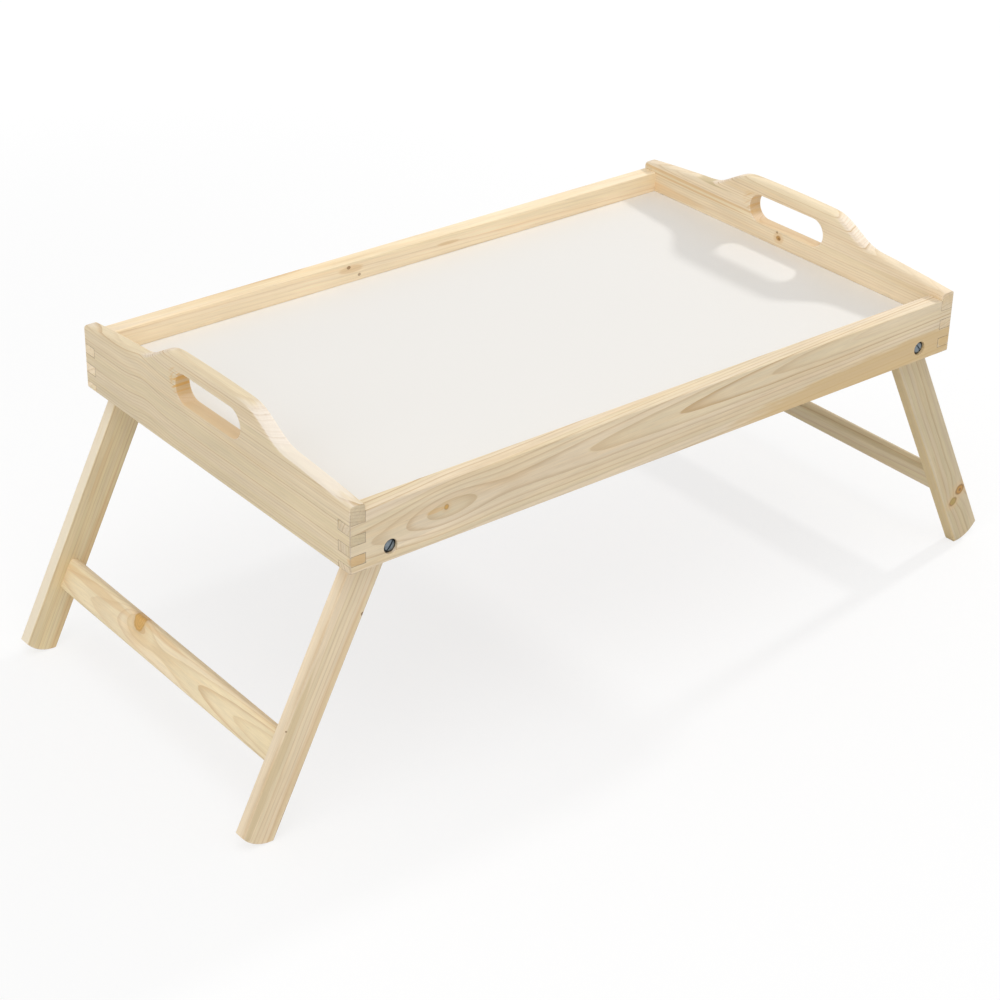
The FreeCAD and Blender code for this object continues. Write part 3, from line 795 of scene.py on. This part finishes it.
def left_end_board(wood):
    """Strong straight rings that dip behind the hand hole, and a painted highlight on its top faces towards
    the front.
    """
    outer, resin = -board_high.x, tuple(wood.resin)
    return PineBoard(
        Y_AXIS, Z_AXIS, centre_of("end_board_left"), pith=(-0.0910, -0.0200), drift=(0.004, -0.008),
        rings=0.714, wander=0.0025, contrast=1.10, streaks=0.20, greening=0.20, tone=0.94,
        knots=[Knot(on_rail(outer, 0.0540, 0.0775), 0.00001, swell=0.0040, reach=0.0085, outline=0.0)],
        stains=[Stain(on_rail(-0.2445, 0.0085, rail_low.y), (0.0050, 0.0040, 0.0070), resin, 0.75)],
        lit_tops=[Stain(on_rail(outer, 0.0480, -0.0850), (0.0600, 0.0250, 0.0300), TOP_HIGHLIGHT, 0.65)])


class BEDTRAY_OT_end_boards(Operator):
    """Finish the two end boards with their hand holes"""
    bl_idname = "bed_tray.end_boards"
    bl_label = "End boards"

    def execute(self, context):
        wood = context.scene.bed_tray_wood
        for node, board, marks in (("end_board_right", right_end_board(wood), HoleMarks(0.62, 0.45)),
                                   ("end_board_left", left_end_board(wood), HoleMarks(0.70, 0.80))):
            material = pine_material("pine_" + node, board, wood, marks, fingers=True)
            eased_copy(node, "tray", wood.eased_edge, material)
        return {"FINISHED"}


def front_left_leg(wood):
    """Fine even rings, with a pin knot on the arris by the stretcher and an ochre band below it."""
    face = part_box("leg_front_left")[0].y
    return dict(
        pith=(-0.0215, 0.006), drift=(0.002, 0.003), rings=0.95, contrast=0.9, tone=1.03,
        stains=[
            Stain(on_leg("left", 0.0482, -0.0112, face + 0.0006), (0.0014, 0.0013, 0.0018), KNOT_BARK, 0.9),
            Stain(on_leg("left", 0.1280, 0.0114, face), (0.0007, 0.0006, 0.0020), KNOT_BARK, 0.8),
            Stain(on_leg("left", 0.1200, -0.0080, face), (0.1000, 0.0030, 0.0200), tuple(wood.resin), 0.35),
            Stain(on_leg("left", 0.1550, 0.0087, face), (0.0750, 0.0029, 0.0040), OCHRE, 0.50)])


def back_left_leg(wood):
    """Olive wood with resin streaks and a cream outer edge."""
    face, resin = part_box("leg_back_left")[0].y, tuple(wood.resin)
    return dict(
        pith=(-0.0225, -0.005), drift=(-0.003, 0.004), rings=0.9, contrast=0.8, greening=0.70, tone=1.04,
        stains=[
            Stain(on_leg("left", 0.1500, -0.0090, face), (0.0800, 0.0030, 0.3000), resin, 0.45),
            Stain(on_leg("left", 0.0700, 0.0040, face), (0.0250, 0.0020, 0.3000), resin, 0.30),
            Stain(on_leg("left", 0.1100, 0.0127, face), (0.3000, 0.0012, 0.3000), CREAM, 0.8)])


def front_right_leg(wood):
    """Drawn darker as a whole, with an ochre inner edge and two knots above the foot, one amber and one
    olive.
    """
    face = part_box("leg_front_right")[0].y
    return dict(
        # tone below 1 draws the whole leg darker
        pith=(0.024, -0.026), drift=(0.006, 0.010), rings=0.90, contrast=0.7, greening=0.40, tone=0.81,
        knots=[
            Knot(on_leg("right", 0.1594, 0.0064, face), 0.0030, swell=0.0020, reach=0.0060, outline=0.85),
            Knot(on_leg("right", 0.1644, -0.0024, face), 0.0024, swell=0.0015, reach=0.0050, outline=0.75)],
        stains=[
            Stain(on_leg("right", 0.1596, 0.0066, face), (0.0034, 0.0031, 0.0040), KNOT_AMBER, 0.75),
            Stain(on_leg("right", 0.1598, 0.0067, face), (0.0014, 0.0013, 0.0020), KNOT_BARK, 0.8),
            Stain(on_leg("right", 0.1642, -0.0022, face), (0.0032, 0.0027, 0.0040), KNOT_OLIVE, 0.8),
            Stain(on_leg("right", 0.1000, -0.0124, face), (0.3000, 0.0013, 0.0300), OCHRE, 0.6)])


def back_right_leg(wood):
    """Plain straight wood."""
    return dict(pith=(-0.050, 0.035), drift=(0.004, -0.004), rings=0.9, tone=0.95)


LEG_CUTS = {
    "leg_front_left": front_left_leg,
    "leg_back_left": back_left_leg,
    "leg_front_right": front_right_leg,
    "leg_back_right": back_right_leg,
}


class BEDTRAY_OT_legs(Operator):
    """Finish the four legs"""
    bl_idname = "bed_tray.legs"
    bl_label = "Legs"

    def execute(self, context):
        wood = context.scene.bed_tray_wood
        for node, cut in LEG_CUTS.items():
            down, out = leg_directions(node.split("_")[-1])
            board = PineBoard(down, out, centre_of(node), wander=0.003, **cut(wood))
            dress(node, pine_material("pine_" + node, board, wood))
        return {"FINISHED"}


def left_stretcher_board(wood):
    """Pointed rings, and a large round knot at the upper edge with resin streaks from it."""
    resin, knot_spot = tuple(wood.resin), on_leg("left", 0.1375, 0.0022, 0.0372)
    return PineBoard(
        Y_AXIS, leg_directions("left")[0], centre_of("stretcher_left"), pith=(0.0010, 0.0190),
        drift=(0.0, 0.060), rings=0.85, wander=0.0018, contrast=0.85, streaks=0.30, greening=0.30, tone=1.08,
        knots=[Knot(knot_spot, 0.0060, swell=0.0065, reach=0.0095, outline=0.15)],
        stains=[
            Stain(on_leg("left", 0.1400, 0.0022, 0.0900), (0.0500, 0.0030, 0.0100), resin, 0.45),
            Stain(on_leg("left", 0.1370, 0.0022, 0.0100), (0.0260, 0.0018, 0.0100), resin, 0.45)])


def right_stretcher_board():
    """Plain wood, drawn darker as a whole."""
    return PineBoard(
        Y_AXIS, leg_directions("right")[0], centre_of("stretcher_right"), pith=(-0.0200, -0.0350),
        # tone below 1 draws the whole stretcher darker
        drift=(0.010, 0.020), rings=0.95, wander=0.0030, contrast=0.8, streaks=0.30, greening=0.60, tone=0.84)


class BEDTRAY_OT_stretchers(Operator):
    """Finish the two stretchers between the legs"""
    bl_idname = "bed_tray.stretchers"
    bl_label = "Stretchers"

    def execute(self, context):
        wood = context.scene.bed_tray_wood
        for node, board in (("stretcher_left", left_stretcher_board(wood)),
                            ("stretcher_right", right_stretcher_board())):
            dress(node, pine_material("pine_" + node, board, wood))
        return {"FINISHED"}


class BEDTRAY_OT_tray_panel(Operator):
    """Finish the white panel"""
    bl_idname = "bed_tray.tray_panel"
    bl_label = "Panel"

    def execute(self, context):
        dress("tray_panel", panel_material(context.scene.bed_tray_panel))
        return {"FINISHED"}


class BEDTRAY_OT_hardware(Operator):
    """Finish the bolts, washers and nuts"""
    bl_idname = "bed_tray.hardware"
    bl_label = "Hardware"

    def execute(self, context):
        settings = context.scene.bed_tray_hardware
        zinc = turned_metal_material("zinc_plate", tuple(settings.zinc), 0.38, DULL_ZINC)
        for side in SIDES:
            for depth in DEPTHS:
                for name in ("pivot_bolt", "pivot_washer", "nut_washer", "lock_nut"):
                    dress(f"{name}_{depth}_{side}", zinc)
        return {"FINISHED"}


# ---- Stage ----

def lamp_power(level, distance):
    """Power at which an area lamp lights a facing surface to a level, where 1 shows colours as written."""
    return level * math.pi ** 2 * distance ** 2


def add_lamp(name, target, direction, distance, size, level):
    """Round lamp that shines on a target from a direction."""
    data = bpy.data.lights.new(name, "AREA")
    data.shape = "DISK"
    data.size = size
    data.energy = lamp_power(level, distance)
    lamp = bpy.data.objects.new(name, data)
    towards = direction.normalized()
    lamp.location = target + towards * distance
    lamp.rotation_mode = "QUATERNION"
    lamp.rotation_quaternion = towards.to_track_quat("Z", "Y")
    bpy.context.scene.collection.objects.link(lamp)


def background_rays(make):
    """Mask of the rays that should meet a plain white background."""
    rays = make.add("ShaderNodeLightPath").outputs
    seen = make.math("MAXIMUM", rays["Is Camera Ray"], rays["Is Glossy Ray"])
    return make.math("MAXIMUM", seen, rays["Is Transmission Ray"])


def floor_material(colour, glow):
    """Pale floor that is seen nearly white, so that it meets a white background and keeps a faint shadow."""
    material, make, shader = new_material("pale_floor", 0.85, 0.1)
    place = make.add("ShaderNodeTexCoord").outputs["Object"]
    grain = make.noise(place, 3.0, 0.5, (60, 60, 60))
    make.put(shader.inputs["Base Color"], make.mix(make.times(grain, 0.03), tuple(colour),
                                                   (0.8, 0.8, 0.8, 1)))
    far = make.step(make.length(place), 0.55, 1.5)
    share = make.times(background_rays(make), make.math("MULTIPLY_ADD", far, 1.0 - glow, glow))
    white = make.add("ShaderNodeEmission", {"Color": (1, 1, 1, 1), "Strength": 1.03})
    both = make.add("ShaderNodeMixShader", {0: share, 1: shader.outputs[0], 2: white.outputs[0]})
    output = next(node for node in material.node_tree.nodes if node.type == "OUTPUT_MATERIAL")
    make.put(output.inputs["Surface"], both.outputs[0])
    return material


def add_floor(settings):
    """Wide pale floor under the object."""
    mesh = bpy.data.meshes.new("floor")
    shape = bmesh.new()
    bmesh.ops.create_grid(shape, x_segments=1, y_segments=1, size=12.0)
    shape.to_mesh(mesh)
    shape.free()
    mesh.materials.append(floor_material(settings.floor_colour, settings.floor_glow))
    floor = bpy.data.objects.new("floor", mesh)
    bpy.context.scene.collection.objects.link(floor)


def add_sky(level):
    """Even light from all round, which is seen as plain white."""
    world = bpy.data.worlds.new("studio")
    bpy.context.scene.world = world
    world.use_nodes = True
    world.node_tree.nodes.clear()
    make = NodeMaker(world.node_tree)
    strength = make.math("MULTIPLY_ADD", background_rays(make), 1.0 - level, level)
    sky = make.add("ShaderNodeBackground", {"Color": (1, 1, 1, 1), "Strength": strength})
    make.add("ShaderNodeOutputWorld", {"Surface": sky.outputs[0]})


def add_camera(settings):
    """Camera at the photograph's viewing angle."""
    data = bpy.data.cameras.new("camera")
    data.sensor_width = 36.0
    data.lens = settings.lens
    data.shift_x = settings.shift_right
    data.shift_y = settings.shift_up
    data.clip_end = 50.0
    camera = bpy.data.objects.new("camera", data)
    camera.location = settings.camera_place
    camera.rotation_euler = (math.pi / 2 - settings.camera_dip, 0, -settings.camera_turn)
    bpy.context.scene.collection.objects.link(camera)
    bpy.context.scene.camera = camera


class BEDTRAY_OT_stage(Operator):
    """Set the floor, the light and the camera"""
    bl_idname = "bed_tray.stage"
    bl_label = "Stage"

    def execute(self, context):
        settings = context.scene.bed_tray_stage
        context.scene.view_settings.view_transform = "Standard"
        add_floor(settings)
        add_sky(settings.sky_level)
        middle = Vector((0, 0, panel_top))
        shaded_spot = Vector((0.19, 0, panel_top))
        add_lamp("overhead", middle, Vector((-0.25, -0.35, 1.0)), distance=2.4, size=2.0,
                 level=settings.overhead_level)
        add_lamp("key", shaded_spot, Vector((1.0, 0.12, 0.59)), distance=2.5, size=0.22,
                 level=settings.key_level)
        add_lamp("fill", middle, Vector((-0.85, -0.30, 0.42)), distance=1.7, size=1.2,
                 level=settings.fill_level)
        add_camera(settings)
        return {"FINISHED"}


class BEDTRAY_PT_sidebar(Panel):
    """Settings and steps of the bed tray table"""
    bl_idname = "BEDTRAY_PT_sidebar"
    bl_label = "Bed Tray"
    bl_space_type = "VIEW_3D"
    bl_region_type = "UI"
    bl_category = "Bed Tray"

    def draw(self, context):
        for operator in OPERATORS:
            self.layout.operator(operator.bl_idname)
        for name, group in SETTINGS.items():
            settings = getattr(context.scene, name)
            box = self.layout.box()
            for field in group.__annotations__:
                box.prop(settings, field)


SETTINGS = {
    "bed_tray_wood": BedTrayWood,
    "bed_tray_panel": BedTrayPanel,
    "bed_tray_hardware": BedTrayHardware,
    "bed_tray_stage": BedTrayStage,
}
OPERATORS = (
    BEDTRAY_OT_stage,
    BEDTRAY_OT_rails,
    BEDTRAY_OT_end_boards,
    BEDTRAY_OT_tray_panel,
    BEDTRAY_OT_legs,
    BEDTRAY_OT_stretchers,
    BEDTRAY_OT_hardware,
)


def register():
    for group in SETTINGS.values():
        bpy.utils.register_class(group)
    for operator in OPERATORS:
        bpy.utils.register_class(operator)
    bpy.utils.register_class(BEDTRAY_PT_sidebar)
    for name, group in SETTINGS.items():
        setattr(bpy.types.Scene, name, PointerProperty(type=group))


def unregister():
    for name in SETTINGS:
        delattr(bpy.types.Scene, name)
    bpy.utils.unregister_class(BEDTRAY_PT_sidebar)
    for operator in reversed(OPERATORS):
        bpy.utils.unregister_class(operator)
    for group in reversed(list(SETTINGS.values())):
        bpy.utils.unregister_class(group)


def main():
    register()
    bpy.ops.bed_tray.stage()
    bpy.ops.bed_tray.rails()
    bpy.ops.bed_tray.end_boards()
    bpy.ops.bed_tray.tray_panel()
    bpy.ops.bed_tray.legs()
    bpy.ops.bed_tray.stretchers()
    bpy.ops.bed_tray.hardware()


if __name__ == "__main__":
    main()
